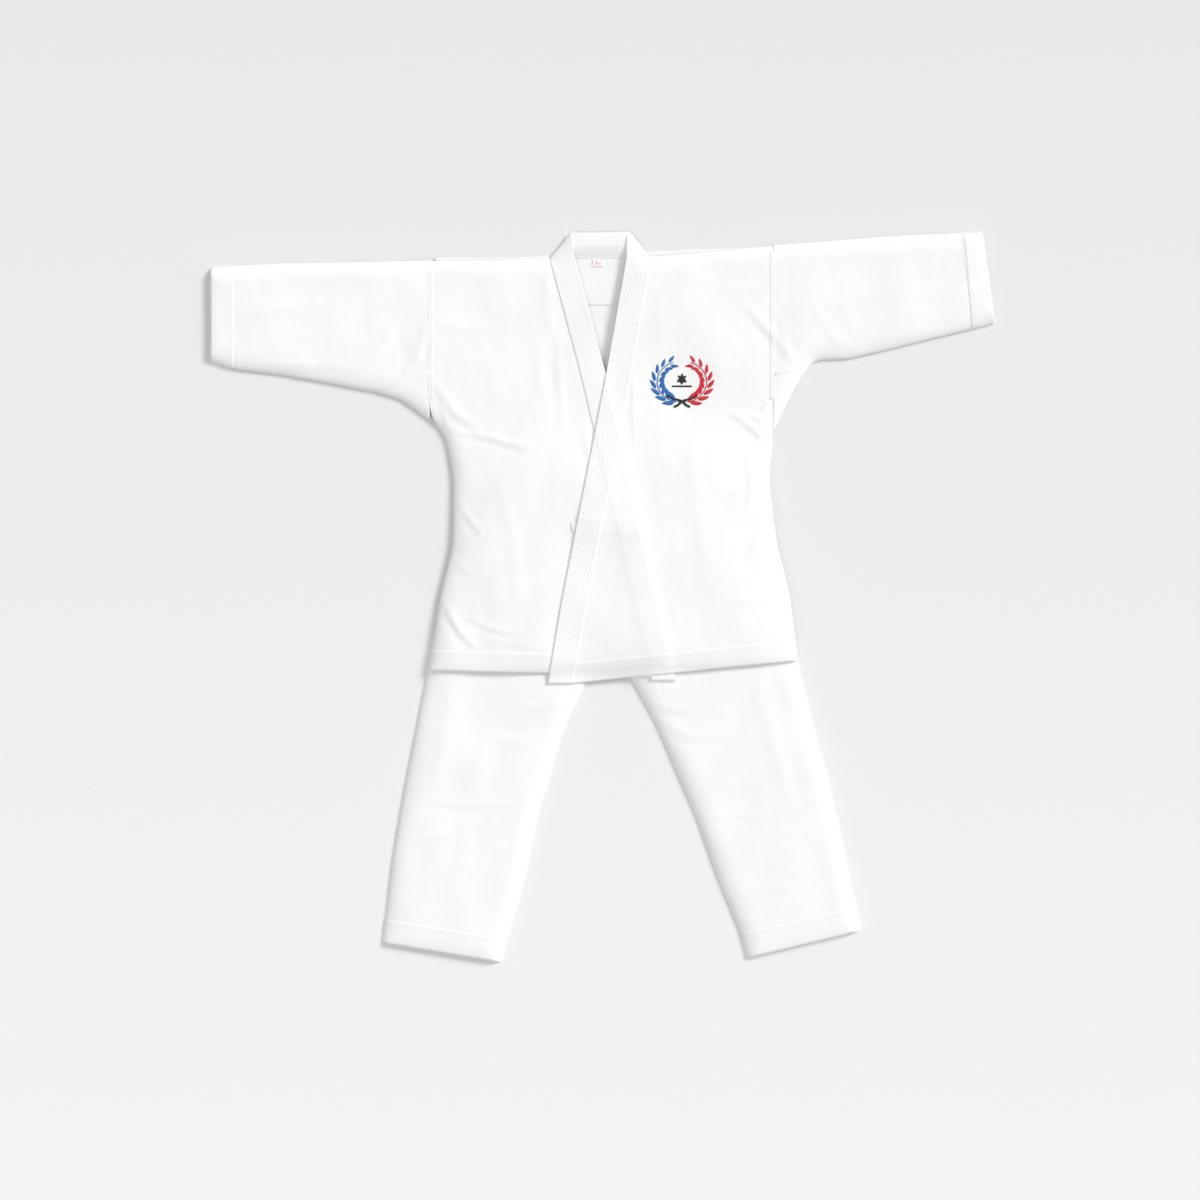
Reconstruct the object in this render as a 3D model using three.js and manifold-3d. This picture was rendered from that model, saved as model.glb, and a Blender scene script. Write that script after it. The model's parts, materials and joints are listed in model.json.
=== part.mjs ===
// Children's karate uniform, laid flat on its back: a wrap-over jacket lying on a pair of trousers.
// Millimetres. +X points to the wearer's left, +Y to the collar, +Z up from the floor.
// The origin is on the floor, under the middle of the laid-out uniform.
import * as THREE from 'three';
import { mergeVertices } from 'three/addons/utils/BufferGeometryUtils.js';
import Module from 'manifold-3d';

// Cloth
const CLOTH = 1.4;           // panel thickness: heavy cotton, slightly puffed
const SEAM_GAP = 0.3;        // gap left at every sewn edge
const HEM_CLOTH = 2.2;       // turned-up hem, two layers
const BAND = 32;             // lapel width
const BAND_CLOTH = 2.6;      // lapel, several layers stitched flat
const HEM_DEPTH = 27;        // jacket hem

// Heights
const TROUSER_TOP = 11.4;    // trousers lie flat with a little air in the legs
const SLEEVE_TOP = 12;
const BACK_LEVEL = 12;       // underside of the jacket back, over the trousers
const FLOOR_LEVEL = 0.2;     // underside of the jacket back, past the waistband
const RIGHT_LEVEL = 20;      // underside of the right front, which lies beneath
const LEFT_LEVEL = 23.6;     // underside of the left front, which lies on top
const EDGE_ROUND = 60;       // how far a laid panel takes to rise from its edge

// Outline
const SHOULDER_Y = 470;      // top of the shoulders
const WAIST_Y = 195;         // top of the waistband
const WAIST_X = [-165, 187]; // gathered waist, laid flat
const RIGHT_ARMHOLE = -233;
const LEFT_ARMHOLE = 230;

// Folds: each front turns back about a line from near the foot of the V to the top of its side vent.
const LEFT_FOLD = [[5, 290], [240, 30]];
const RIGHT_FOLD = [[0, 252], [-212, 14]];
const FOLD_GAP = 0.8;

const wasm = await Module();
wasm.setup();

const cotton = (shade) => new THREE.MeshStandardMaterial({ color: shade, roughness: 0.9, metalness: 0 });
const WHITE = '#f6f6f4';
const INSIDE = '#f0f0ee';
const TAPE = '#f4f4f2';
const LABEL_PINK = '#f2e9e8';
const BADGE_BLUE = '#2c5f9e';

const uniform = new THREE.Group();

function add(name, geometry, shade = WHITE) {
  const mesh = new THREE.Mesh(geometry, cotton(shade));
  mesh.name = name;
  uniform.add(mesh);
  return mesh;
}

// 0 at an edge, rising like the side of a laid tube to 1.
const ease = (t) => Math.sin((Math.min(Math.max(t, 0), 1) * Math.PI) / 2);
const blend = (a, b, t) => a + (b - a) * t;

function signedVolume(geometry) {
  const p = geometry.attributes.position;
  const index = geometry.index.array;
  const corner = (i) => new THREE.Vector3().fromBufferAttribute(p, i);
  let sum = 0;
  for (let i = 0; i < index.length; i += 3) {
    sum += corner(index[i]).dot(corner(index[i + 1]).cross(corner(index[i + 2])));
  }
  return sum / 6;
}

function closed(geometry) {
  geometry.deleteAttribute('normal');
  geometry.deleteAttribute('uv');
  const merged = mergeVertices(geometry, 1e-4);
  if (signedVolume(merged) < 0) merged.setIndex([...merged.index.array].reverse());
  return merged;
}

// The two edges of a panel, given as rows [x1, y1, x2, y2] from one end to the other.
function edges(rows) {
  return (u, v) => {
    const at = v * (rows.length - 1);
    const row = Math.min(Math.floor(at), rows.length - 2);
    const [x1, y1, x2, y2] = rows[row].map((value, i) => blend(value, rows[row + 1][i], at - row));
    return new THREE.Vector2(blend(x1, x2, u), blend(y1, y2, u));
  };
}

// A panel of cloth: `under` gives the height of its underside at (x, y, u, v).
function panel(rows, under, { cloth = CLOTH, across = 8, steps = 2 } = {}) {
  const geometry = new THREE.BoxGeometry(1, 1, 1, across, steps * (rows.length - 1), 1);
  const place = edges(rows);
  const p = geometry.attributes.position;
  for (let i = 0; i < p.count; i += 1) {
    const u = p.getX(i) + 0.5;
    const v = p.getY(i) + 0.5;
    const w = p.getZ(i) + 0.5;
    const at = place(u, v);
    p.setXYZ(i, at.x, at.y, under(at.x, at.y, u, v) + w * cloth);
  }
  return closed(geometry);
}

// A flattened loop of cloth round a sleeve, leg or waist, open at both ends.
function loop(rows, base, height, cloth, inset = 0) {
  const profile = [[1, 0], [2, 0], [2, 1], [1, 1], [1, 0]].map(([r, y]) => new THREE.Vector2(r, y));
  const geometry = new THREE.LatheGeometry(profile, 32);
  const place = edges(rows);
  const p = geometry.attributes.position;
  for (let i = 0; i < p.count; i += 1) {
    const angle = Math.atan2(p.getZ(i), p.getX(i));
    const layer = Math.hypot(p.getX(i), p.getZ(i)) - 1;
    const v = p.getY(i);
    const shrink = inset + (1 - layer) * cloth;
    const low = place(0, v);
    const width = low.distanceTo(place(1, v));
    const side = Math.sign(Math.cos(angle)) * Math.abs(Math.cos(angle)) ** 0.5;
    const rise = Math.sign(Math.sin(angle)) * Math.abs(Math.sin(angle)) ** 0.8;
    const at = place(0.5 + side * (0.5 - shrink / width), v);
    p.setXYZ(i, at.x, at.y, base + height / 2 + rise * (height / 2 - shrink));
  }
  return closed(geometry);
}

// The piece of a panel on one side of a fold line: side +1 is to the left of the line's direction.
function half(geometry, line, side) {
  const [[x1, y1], [x2, y2]] = line;
  const along = new THREE.Vector2(x2 - x1, y2 - y1).normalize();
  const reach = 2000;
  const box = new THREE.BoxGeometry(reach, reach, reach);
  box.translate(0, side * (reach / 2 + FOLD_GAP / 2), 0);
  box.rotateZ(Math.atan2(along.y, along.x));
  box.translate(x1, y1, 0);
  const solid = (g) => new wasm.Manifold(new wasm.Mesh({
    numProp: 3,
    vertProperties: g.attributes.position.array,
    triVerts: new Uint32Array(g.index.array),
  }));
  const mesh = solid(geometry).intersect(solid(closed(box))).getMesh();
  const result = new THREE.BufferGeometry();
  result.setAttribute('position', new THREE.BufferAttribute(mesh.vertProperties, 3));
  result.setIndex([...mesh.triVerts]);
  return result;
}

// ---------------------------------------------------------------- trousers
// Rows run up the leg: [outer x, outer y, inner x, inner y].
const RIGHT_THIGH = [
  [-268, -262, -89, -300],
  [-250, -170, -50, -170],
  [-236, -99, -13, -100],
  [-226, -50, -4, -56],
  [-214, -10, -13, -15],
  [-195, 60, 5.5, 50],
  [-180, 110, 6.5, 110],
  [WAIST_X[0], 159.5, 6.5, 159.5],
];
const LEFT_THIGH = [
  [306, -255, 128, -300],
  [283, -170, 72, -170],
  [264, -95, 33, -100],
  [252, -50, 20, -56],
  [243, -10, 29, -15],
  [222, 60, 9.5, 50],
  [206, 110, 8.5, 110],
  [WAIST_X[1], 159.5, 8.5, 159.5],
];
const RIGHT_SHIN = [[-293, -435, -129, -462], [-283, -350, -106, -385], [-268.2, -262.8, -89.2, -300.8]];
const LEFT_SHIN = [[342, -419, 187, -455], [325, -340, 156, -380], [306.2, -255.8, 128.2, -300.8]];
const RIGHT_LEG_HEM = [[-297, -466, -137, -493], [-293.1, -435.3, -129.1, -462.3]];
const LEFT_LEG_HEM = [[349, -450, 195, -487], [342.1, -419.3, 187.1, -455.3]];
const GUSSET = [[-1, -57, 17, -57], [-10.5, -15, 26.5, -15], [6.8, 47, 8.2, 47]];

const LEG_RISE = TROUSER_TOP - 2 * CLOTH - SEAM_GAP;

// Upper cloth of a leg: low at both edges, but level across the middle of the seat.
function legTop(x, y, u, v, width) {
  const seat = ease((y + 60) / 80);
  const inner = Math.max(ease(((1 - u) * width) / EDGE_ROUND), seat);
  return CLOTH + SEAM_GAP + LEG_RISE * ease((u * width) / EDGE_ROUND) * inner;
}

function leg(side, thigh, shin, hem) {
  const onFloor = () => 0;
  const thighTop = (x, y, u, v) => legTop(x, y, u, v, 200);
  const shinTop = (x, y, u, v) => legTop(x, y, u, v, 170);
  add(`${side}_thigh_back`, panel(thigh, onFloor, { across: 4, steps: 1 }), INSIDE);
  add(`${side}_thigh_front`, panel(thigh, thighTop));
  add(`${side}_shin_back`, panel(shin, onFloor, { across: 4, steps: 1 }), INSIDE);
  add(`${side}_shin_front`, panel(shin, shinTop));
  add(`${side}_leg_hem`, loop(hem, 0, TROUSER_TOP, HEM_CLOTH));
}

leg('right', RIGHT_THIGH, RIGHT_SHIN, RIGHT_LEG_HEM);
leg('left', LEFT_THIGH, LEFT_SHIN, LEFT_LEG_HEM);
add('crotch_gusset', panel(GUSSET, () => 0, { cloth: 2 * CLOTH, across: 2, steps: 2 }));

// Waistband: an outer casing, the elastic, and an inner facing, one inside the other.
const WAIST = [[WAIST_X[0], 160, WAIST_X[1], 160], [WAIST_X[0], WAIST_Y, WAIST_X[1], WAIST_Y]];
const WAIST_LAYER = 0.9;
['waistband_casing', 'waist_elastic', 'waistband_facing'].forEach((name, i) => {
  const inset = i * (WAIST_LAYER + SEAM_GAP);
  add(name, loop(WAIST, 0, TROUSER_TOP, WAIST_LAYER, inset), i === 1 ? TAPE : WHITE);
});

// ---------------------------------------------------------------- jacket
// The back lies on the trousers and comes down to the floor past the waistband.
const backLevel = (y) => blend(BACK_LEVEL, FLOOR_LEVEL, ease((y - 202) / 60));

const HEM_Y = -72;
const BACK = [
  [-229, HEM_Y, 260, -59],
  [-218, 2, 251, 9],
  [-201, 70, 235, 70],
  [-200, 163, 224.5, 155],
  [-211, 218, 229.5, 210],
  [RIGHT_ARMHOLE + 0.6, 242, LEFT_ARMHOLE - 0.6, 240],
  [RIGHT_ARMHOLE + 0.6, 300, LEFT_ARMHOLE - 0.6, 300],
  [RIGHT_ARMHOLE + 0.6, 400, LEFT_ARMHOLE - 0.6, 400],
  [RIGHT_ARMHOLE + 0.6, 453, LEFT_ARMHOLE - 0.6, 473],
];
const BACK_HEM = [[-234, -99, 263, -86], [-229, HEM_Y - 0.3, 260, -59.3]];
add('jacket_back', panel(BACK, (x, y) => backLevel(y), { across: 6, steps: 3 }), INSIDE);
add('back_hem', panel(BACK_HEM, () => BACK_LEVEL, { cloth: HEM_CLOTH, across: 6, steps: 1 }), INSIDE);

// The yoke lining lies on the inside of the back, between the shoulders.
const YOKE = [[-226, 393, 224, 393], [-226, 450, 224, 464]];
const YOKE_CLOTH = 0.9;
const yokeLevel = () => FLOOR_LEVEL + CLOTH + SEAM_GAP;
add('back_yoke_lining', panel(YOKE, yokeLevel, { cloth: YOKE_CLOTH, across: 4, steps: 1 }), INSIDE);

const SLEEVE_RISE = SLEEVE_TOP - 2 * CLOTH - SEAM_GAP;

// Height of a front's underside: low along the side seam, the armhole and the shoulder.
function frontLevel(level, side) {
  return (x, y) => {
    const edge = side < 0 ? x - sideAt(-1, y) : sideAt(1, y) - x;
    const hem = y < HEM_Y + HEM_DEPTH ? HEM_CLOTH - CLOTH : 0;
    const lining = y > 380 ? YOKE_CLOTH + SEAM_GAP : 0;
    const armhole = SLEEVE_RISE * ease((y - 300) / EDGE_ROUND) * ease((SHOULDER_Y - y) / EDGE_ROUND);
    const low = backLevel(y) + CLOTH + SEAM_GAP + hem + lining + armhole;
    const round = ease(edge / EDGE_ROUND) * ease((SHOULDER_Y - y) / EDGE_ROUND);
    return blend(low, level, round);
  };
}

// The side of the jacket at height y, from the rows of the back.
function sideAt(side, y) {
  const column = side < 0 ? 0 : 2;
  let row = 0;
  while (row < BACK.length - 2 && BACK[row + 1][column + 1] < y) row += 1;
  const [a, b] = [BACK[row], BACK[row + 1]];
  const t = Math.min(Math.max((y - a[column + 1]) / (b[column + 1] - a[column + 1]), 0), 1);
  return blend(a[column], b[column], t);
}

// Free edges of the two fronts: from the collar, through the foot of the V, to the hem.
const RIGHT_FREE = [[99, -113], [4.7, 296], [-45, 481]];
const LEFT_FREE = [[-73, -117], [-54, -5], [-20, 167], [4.7, 296], [37, 481]];

function freeEdge(points, y) {
  let row = 0;
  while (row < points.length - 2 && points[row + 1][1] < y) row += 1;
  const [[x1, y1], [x2, y2]] = [points[row], points[row + 1]];
  return blend(x1, x2, (y - y1) / (y2 - y1));
}

const BAND_ACROSS = BAND + 1;   // the band measured level, as its edges slope
const SIDE_ROWS = BACK.map((row) => row[1]);
const rightRows = BACK.map((row) => {
  const y = row[1] === HEM_Y ? -80 : Math.min(row[1] + 3 * (row[1] > 450), 456);
  return [row[0], row[1], freeEdge(RIGHT_FREE, y) - BAND_ACROSS, y];
});
const leftRows = BACK.map((row, i) => {
  const y = i === 0 ? -90 : Math.min(SIDE_ROWS[i] + 5 * (SIDE_ROWS[i] > 450), 458);
  return [freeEdge(LEFT_FREE, y) + BAND_ACROSS, y, row[2], row[3]];
});

const rightFront = panel(rightRows, frontLevel(RIGHT_LEVEL, -1), { steps: 3 });
const leftFront = panel(leftRows, frontLevel(LEFT_LEVEL, 1), { steps: 3 });
add('right_front', half(rightFront, RIGHT_FOLD, -1));
add('right_front_flap', half(rightFront, RIGHT_FOLD, 1));
add('left_front', half(leftFront, LEFT_FOLD, 1));
add('left_front_flap', half(leftFront, LEFT_FOLD, -1));

// Front hems run from the side vent to the lapel.
const rightHem = [[-234, -99, freeEdge(RIGHT_FREE, -108) - BAND_ACROSS, -108], [...rightRows[0]]];
const leftHem = [[freeEdge(LEFT_FREE, -117) + BAND_ACROSS, -117, 263, -86], [...leftRows[0]]];
for (const hem of [rightHem, leftHem]) {
  hem[1][1] -= 0.3;
  hem[1][3] -= 0.3;
}
const hemShape = { cloth: HEM_CLOTH, across: 8, steps: 1 };
add('right_front_hem', panel(rightHem, frontLevel(RIGHT_LEVEL - 0.4, -1), hemShape));
add('left_front_hem', panel(leftHem, frontLevel(LEFT_LEVEL - 0.4, 1), hemShape));

// Lapels: a stiff band along each free edge, from the hem to the collar.
function lapelRows(points, side, bottom) {
  return [bottom, -5, 100, 200, 296, 400, 456].map((y) => {
    const free = freeEdge(points, y);
    const seam = free + side * (BAND_ACROSS - 0.6);
    return side < 0 ? [seam, y, free, y] : [free, y, seam, y];
  });
}
const LAPEL_TOP_Y = 500;
const lapelLevel = (level) => (x, y) => blend(4, level, ease((LAPEL_TOP_Y - y) / 90));
const lapelShape = { cloth: BAND_CLOTH, across: 2, steps: 4 };
const rightLapel = panel(lapelRows(RIGHT_FREE, -1, -113), lapelLevel(RIGHT_LEVEL - 0.8), lapelShape);
const leftLapel = panel(lapelRows(LEFT_FREE, 1, -117), lapelLevel(LEFT_LEVEL - 0.2), lapelShape);
add('right_lapel', half(rightLapel, RIGHT_FOLD, 1));
add('right_lapel_upper', half(rightLapel, RIGHT_FOLD, -1));
add('left_lapel', half(leftLapel, LEFT_FOLD, -1));
add('left_lapel_upper', half(leftLapel, LEFT_FOLD, 1));

// The collar joins the lapels round the back of the neck.
const COLLAR = [[-71, 457, 63, 457.5], [-56, 474, 51, 474], [-44, 490.5, 36, 491.5]];
const collarLevel = (x, y) => blend(3.2, 4.4, ease((y - 457) / 34));
const collarShape = { cloth: BAND_CLOTH, across: 8, steps: 2 };
add('back_collar', panel(COLLAR, collarLevel, collarShape), WHITE);

// Size label, sewn below the collar on the yoke lining.
const LABEL = [[-13.5, 445, 1.5, 445], [-13.5, 455, 1.5, 455]];
const labelLevel = () => yokeLevel() + YOKE_CLOTH + SEAM_GAP;
add('size_label', panel(LABEL, labelLevel, { cloth: 0.5, across: 1, steps: 1 }), LABEL_PINK);

// Embroidered badge on the left chest.
const BADGE_AT = [107, 289];
const BADGE = [90, 76];
const badge = new THREE.CylinderGeometry(0.5, 0.5, 0.8, 28);
badge.rotateX(Math.PI / 2);
badge.scale(BADGE[0], BADGE[1], 1);
badge.translate(BADGE_AT[0], BADGE_AT[1], LEFT_LEVEL + CLOTH + SEAM_GAP + 0.4);
add('chest_badge', closed(badge), BADGE_BLUE);

// ---------------------------------------------------------------- tie
// A flat tape sewn to the left front's free edge and tucked back beneath the flap.
const TIE_WIDTH = 12;
const TIE_CLOTH = 0.9;
const TIE_LEVEL = RIGHT_LEVEL - 0.8 + BAND_CLOTH + 0.25;
const TIE_ROUTE = [[-42, 93], [-30, 94], [60, 92], [140, 84]];
const tieCurve = new THREE.CatmullRomCurve3(TIE_ROUTE.map(([x, y]) => new THREE.Vector3(x, y, 0)));
const TIE_STEPS = 18;
const tieRows = tieCurve.getPoints(TIE_STEPS).map((at) => [
  at.x, at.y - TIE_WIDTH / 2, at.x, at.y + TIE_WIDTH / 2,
]);
const tieShape = { cloth: TIE_CLOTH, across: 1, steps: 1 };
add('left_front_tie', panel(tieRows, () => TIE_LEVEL, tieShape), TAPE);

// ---------------------------------------------------------------- sleeves
// Rows run along the sleeve from the cuff: [x, lower edge y, x, upper edge y].
const RIGHT_SLEEVE = [
  [-495.4, 307, -495.4, 446],
  [-435, 300, -435, 449],
  [-367, 288, -367, 450],
  [-310, 277, -312, 451],
  [-290, 288, -290, 452],
  [RIGHT_ARMHOLE - 0.4, 303, RIGHT_ARMHOLE - 0.4, 453],
];
const LEFT_SLEEVE = [
  [497.4, 361, 480.4, 490],
  [440, 347, 430, 488],
  [380, 332, 375, 485],
  [331, 321, 325, 481],
  [295, 320, 290, 478],
  [LEFT_ARMHOLE + 0.4, 300, LEFT_ARMHOLE + 0.4, 474],
];
const RIGHT_CUFF = [[-528, 318, -528, 444], [-496, 307, -496, 446]];
const LEFT_CUFF = [[529, 369, 512, 491], [498, 361, 481, 490]];
const RIGHT_UNDERARM = [
  [-304, 276, -304, 276.8],
  [-270, 266, -270, 291],
  [RIGHT_ARMHOLE - 0.4, 239, RIGHT_ARMHOLE - 0.4, 301.8],
];
const LEFT_UNDERARM = [
  [281, 313.5, 281, 314.5],
  [258, 281, 258, 306],
  [LEFT_ARMHOLE + 0.4, 222, LEFT_ARMHOLE + 0.4, 298.8],
];

const SLEEVE_WIDTH = 150;

function sleeveTop(x, y, u) {
  const round = ease((u * SLEEVE_WIDTH) / EDGE_ROUND) * ease(((1 - u) * SLEEVE_WIDTH) / EDGE_ROUND);
  return CLOTH + SEAM_GAP + SLEEVE_RISE * round;
}

function sleeve(side, rows, cuff, underarm) {
  add(`${side}_sleeve_back`, panel(rows, () => 0, { across: 4 }), INSIDE);
  add(`${side}_sleeve_front`, panel(rows, sleeveTop));
  add(`${side}_cuff`, loop(cuff, 0, SLEEVE_TOP, HEM_CLOTH));
  add(`${side}_underarm_gusset`, panel(underarm, () => 0, { cloth: 2 * CLOTH, across: 2, steps: 2 }));
}

sleeve('right', RIGHT_SLEEVE, RIGHT_CUFF, RIGHT_UNDERARM);
sleeve('left', LEFT_SLEEVE, LEFT_CUFF, LEFT_UNDERARM);

export default uniform;
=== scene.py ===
import json
import math
import bmesh
import bpy
import numpy as np
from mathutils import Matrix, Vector


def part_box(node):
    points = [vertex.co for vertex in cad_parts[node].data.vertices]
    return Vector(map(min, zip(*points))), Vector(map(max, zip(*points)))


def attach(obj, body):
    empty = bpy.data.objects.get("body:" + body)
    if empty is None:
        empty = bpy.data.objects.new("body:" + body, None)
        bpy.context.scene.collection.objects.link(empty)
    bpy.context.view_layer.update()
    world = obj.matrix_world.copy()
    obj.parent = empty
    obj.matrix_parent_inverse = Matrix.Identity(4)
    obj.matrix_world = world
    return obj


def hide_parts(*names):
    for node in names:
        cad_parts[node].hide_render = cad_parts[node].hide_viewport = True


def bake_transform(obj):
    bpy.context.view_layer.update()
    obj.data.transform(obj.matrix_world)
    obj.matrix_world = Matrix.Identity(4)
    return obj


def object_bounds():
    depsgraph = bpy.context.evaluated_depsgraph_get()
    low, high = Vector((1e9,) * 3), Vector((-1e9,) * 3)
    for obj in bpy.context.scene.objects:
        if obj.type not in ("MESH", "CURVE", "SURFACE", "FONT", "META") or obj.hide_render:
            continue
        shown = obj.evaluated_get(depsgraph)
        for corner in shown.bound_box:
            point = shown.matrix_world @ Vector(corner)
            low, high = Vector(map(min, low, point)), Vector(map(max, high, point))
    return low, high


# A children's karate uniform laid flat: a wrap-over jacket on trousers, in white cotton.
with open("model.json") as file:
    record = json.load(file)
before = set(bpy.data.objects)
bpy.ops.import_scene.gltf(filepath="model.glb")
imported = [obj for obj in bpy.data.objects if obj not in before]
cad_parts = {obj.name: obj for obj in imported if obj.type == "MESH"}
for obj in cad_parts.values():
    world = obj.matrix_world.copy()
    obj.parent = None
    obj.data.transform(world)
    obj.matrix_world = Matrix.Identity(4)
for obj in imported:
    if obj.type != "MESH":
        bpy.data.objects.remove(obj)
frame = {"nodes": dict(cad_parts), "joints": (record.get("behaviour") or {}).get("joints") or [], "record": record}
cad_low, cad_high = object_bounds()

MM = 0.001
SEED = 11

# ------------------------------------------------------------------ camera
# Straight overhead. The picture is 1620 mm across at the floor, and its top is the collar's side.
VIEW_WIDTH = 1.62
LENS = 70.0
SENSOR = 36.0
AIM = ((cad_low.x + cad_high.x) / 2 - 0.0039, (cad_low.y + cad_high.y) / 2 - 0.0039)

scene = bpy.context.scene
camera_data = bpy.data.cameras.new("camera")
camera_data.lens = LENS
camera_data.sensor_width = SENSOR
camera = bpy.data.objects.new("camera", camera_data)
camera.location = (AIM[0], AIM[1], VIEW_WIDTH * LENS / SENSOR)
scene.collection.objects.link(camera)
scene.camera = camera
scene.view_settings.view_transform = "Standard"


# ------------------------------------------------------------------ materials
def node(tree, kind, inputs=None, **settings):
    made = tree.nodes.new(kind)
    for key, value in settings.items():
        setattr(made, key, value)
    for key, value in (inputs or {}).items():
        if isinstance(value, bpy.types.NodeSocket):
            tree.links.new(value, made.inputs[key])
        else:
            made.inputs[key].default_value = value
    return made


def math_node(tree, operation, *values):
    return node(tree, "ShaderNodeMath", dict(enumerate(values)), operation=operation).outputs[0]


def woven(name, colour, spread, pitch, relief, roughness=0.88, sheen=0.25, rib=False):
    """Cloth: threads of `pitch` metres crossing over and under, with slubs, faint changes of tone at random, and
    painted shade where the threads dip.
    """
    material = bpy.data.materials.new(name)
    material.use_nodes = True
    tree = material.node_tree
    shader = tree.nodes["Principled BSDF"]
    place = node(tree, "ShaderNodeUVMap", uv_map="cloth").outputs[0]
    axes = node(tree, "ShaderNodeSeparateXYZ", {0: place})
    turn = 2 * math.pi / pitch
    warp = math_node(tree, "SINE", math_node(tree, "MULTIPLY", axes.outputs[0], turn))
    weft = math_node(tree, "SINE", math_node(tree, "MULTIPLY", axes.outputs[1], turn))
    threads = warp if rib else math_node(tree, "MULTIPLY", warp, weft)
    slub = node(tree, "ShaderNodeTexNoise", {"Vector": place, "Scale": 900.0, "Detail": 3.0}).outputs[0]
    shade = node(tree, "ShaderNodeTexNoise", {"Vector": place, "Scale": 22.0, "Detail": 5.0}).outputs[0]
    height = math_node(tree, "MULTIPLY_ADD", threads, 0.35, slub)
    # Colour: random tone from the noise, plus painted shade that darkens the cloth where the weave's threads dip
    # under each other.
    tone_and_weave_shade = math_node(tree, "MULTIPLY_ADD", threads, 0.12, shade)
    ramp = node(tree, "ShaderNodeValToRGB", {0: tone_and_weave_shade})
    low, high = ramp.color_ramp.elements
    low.position, high.position = 0.3, 0.7
    low.color = (*[c * (1 - spread) for c in colour], 1)
    high.color = (*colour, 1)
    tree.links.new(ramp.outputs[0], shader.inputs["Base Color"])
    bump = node(tree, "ShaderNodeBump", {"Height": height, "Strength": 0.5, "Distance": relief})
    tree.links.new(bump.outputs[0], shader.inputs["Normal"])
    shader.inputs["Roughness"].default_value = roughness
    shader.inputs["Sheen Weight"].default_value = sheen
    shader.inputs["Sheen Roughness"].default_value = 0.5
    shader.inputs["Specular IOR Level"].default_value = 0.25
    return material


def thread(name, colour, roughness=0.55):
    """Twisted sewing or embroidery thread, its colour painted darker where its fibres dip, as painted shade."""
    material = bpy.data.materials.new(name)
    material.use_nodes = True
    tree = material.node_tree
    shader = tree.nodes["Principled BSDF"]
    place = node(tree, "ShaderNodeTexCoord").outputs["Object"]
    fibre_relief_and_shade = node(tree, "ShaderNodeTexNoise", {"Vector": place, "Scale": 2500.0, "Detail": 2.0}).outputs[0]
    # Painted shade: the fibre noise that raises the bump also darkens the colour where the thread dips.
    ramp = node(tree, "ShaderNodeValToRGB", {0: fibre_relief_and_shade})
    ramp.color_ramp.elements[0].color = (*[c * 0.82 for c in colour], 1)
    ramp.color_ramp.elements[1].color = (*colour, 1)
    tree.links.new(ramp.outputs[0], shader.inputs["Base Color"])
    bump = node(tree, "ShaderNodeBump", {"Height": fibre_relief_and_shade, "Strength": 0.4, "Distance": 0.0002})
    tree.links.new(bump.outputs[0], shader.inputs["Normal"])
    shader.inputs["Roughness"].default_value = roughness
    shader.inputs["Sheen Weight"].default_value = 0.15
    return material


COTTON = woven("white_cotton", (0.93, 0.93, 0.925), 0.025, 0.0013, 0.00022)
# The jacket's inside is the same white cotton painted a touch darker: painted shade for the inside of the jacket.
SHADED_INSIDE = woven("white_cotton_inside_painted_shade", (0.91, 0.91, 0.905), 0.03, 0.0013, 0.00022)
BAND = woven("lapel_cotton", (0.93, 0.93, 0.925), 0.02, 0.0011, 0.00018)
TAPE = woven("woven_tape", (0.92, 0.92, 0.915), 0.03, 0.0009, 0.0002, rib=True)
SATIN = woven("label_satin", (0.93, 0.9, 0.89), 0.02, 0.0006, 0.0001, roughness=0.45)
PRINT = woven("label_print", (0.8, 0.5, 0.5), 0.05, 0.0006, 0.0001, roughness=0.6)
SEWING = thread("sewing_thread", (0.92, 0.92, 0.915))
BLUE = thread("blue_embroidery", (0.02, 0.19, 0.58), 0.42)
RED = thread("red_embroidery", (0.78, 0.02, 0.05), 0.42)
BLACK = thread("black_embroidery", (0.015, 0.015, 0.017), 0.45)


# ------------------------------------------------------------------ outlines from the frame
def flat_edges(names):
    """The edges of CAD nodes seen from above, in mm: arrays of their two ends."""
    starts, ends = [], []
    for name in names:
        mesh = frame["nodes"][name].data
        co = np.array([v.co[:2] for v in mesh.vertices]) / MM
        pairs = np.array([e.vertices[:] for e in mesh.edges])
        starts.append(co[pairs[:, 0]])
        ends.append(co[pairs[:, 1]])
    return np.vstack(starts), np.vstack(ends)


def span(names, at, axis=1):
    """Lowest and highest place of CAD nodes across each line y = at (axis 1) or x = at (axis 0), in mm."""
    a, b = flat_edges(names)
    low, high = [], []
    for level in at:
        da, db = a[:, axis] - level, b[:, axis] - level
        hit = (da * db <= 0) & (np.abs(da - db) > 1e-6)
        t = da[hit] / (da[hit] - db[hit])
        crossing = a[hit, 1 - axis] + t * (b[hit, 1 - axis] - a[hit, 1 - axis])
        low.append(crossing.min())
        high.append(crossing.max())
    return np.array(low), np.array(high)


def corner(names, dx, dy):
    """The CAD nodes' farthest point in a direction, in mm."""
    points = np.vstack(flat_edges(names))
    return points[np.argmax(points @ np.array([dx, dy]))]


def smooth(values, times=2):
    for _ in range(times):
        inner = 0.25 * values[:-2] + 0.5 * values[1:-1] + 0.25 * values[2:]
        values = np.concatenate([values[:1], inner, values[-1:]])
    return values


def side(names, start, end, which, count=60, axis=1, inset=0.6):
    """One edge of a panel, between its corners in directions start and end, as an array of points in mm."""
    a, b = corner(names, *start), corner(names, *end)
    at = np.linspace(a[axis], b[axis], count)
    reach = np.sign(at[-1] - at[0]) * inset
    at[0] += reach
    at[-1] -= reach
    across = smooth(span(names, at, axis)[which])
    return np.stack([across, at] if axis == 1 else [at, across], axis=1)


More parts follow.
